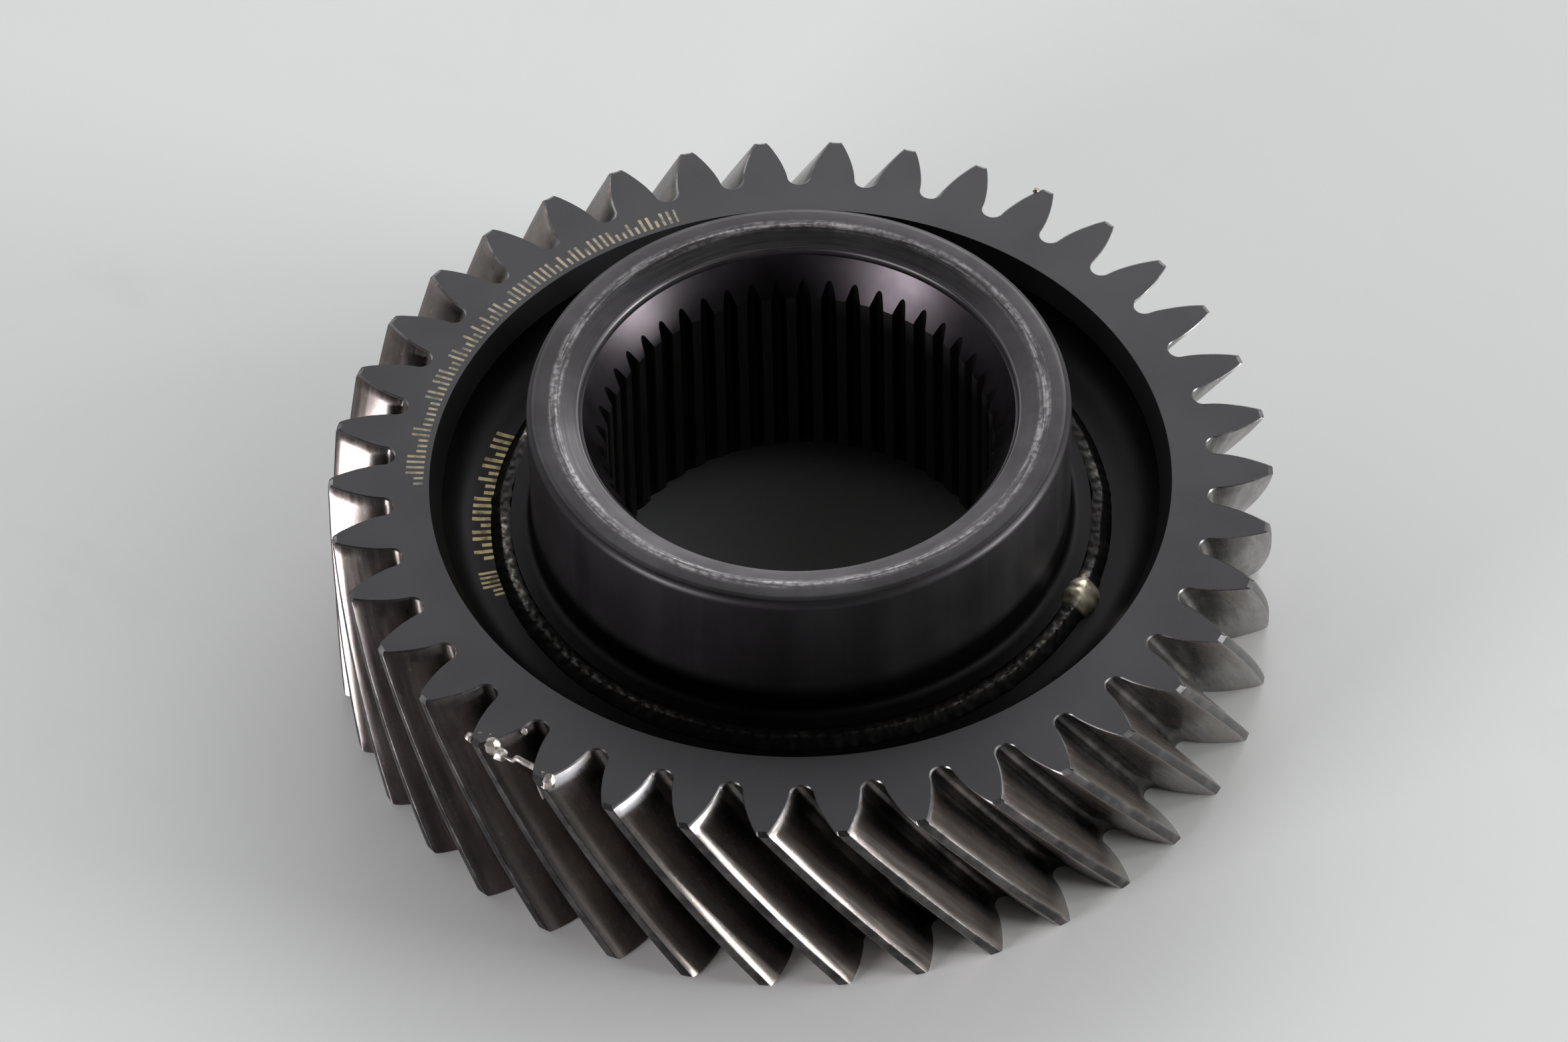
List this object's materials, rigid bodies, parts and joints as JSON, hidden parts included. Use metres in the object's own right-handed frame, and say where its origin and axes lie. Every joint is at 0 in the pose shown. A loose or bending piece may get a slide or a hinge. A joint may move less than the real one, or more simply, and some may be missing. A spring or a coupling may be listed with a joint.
{
  "type": "helical gear",
  "caption": "Left-hand helical gear wheel welded around a splined hub whose plain neck stands above the teeth, for a gearbox shaft.",
  "frame": {"origin": "on the gear's axis, in the plane of the lower ends of the teeth, on which the gear rests", "axes": "+Z along the axis, from the lower tooth faces out through the hub neck. +X runs through the middle of one tooth at the upper tooth faces"},
  "size_m": [0.12, 0.12, 0.0434],
  "materials": {
    "blackened_steel": "satin, blackened, with bright ground tips and edges",
    "hub_steel": "satin, turned, blackened, with a worn bright ring at its end",
    "weld_metal": "rough re-melted steel, partly bright"
  },
  "bodies": {
    "root": {"gear_wheel": "blackened_steel", "splined_hub": "hub_steel", "weld_seam": "weld_metal"}
  },
  "joints": []
}
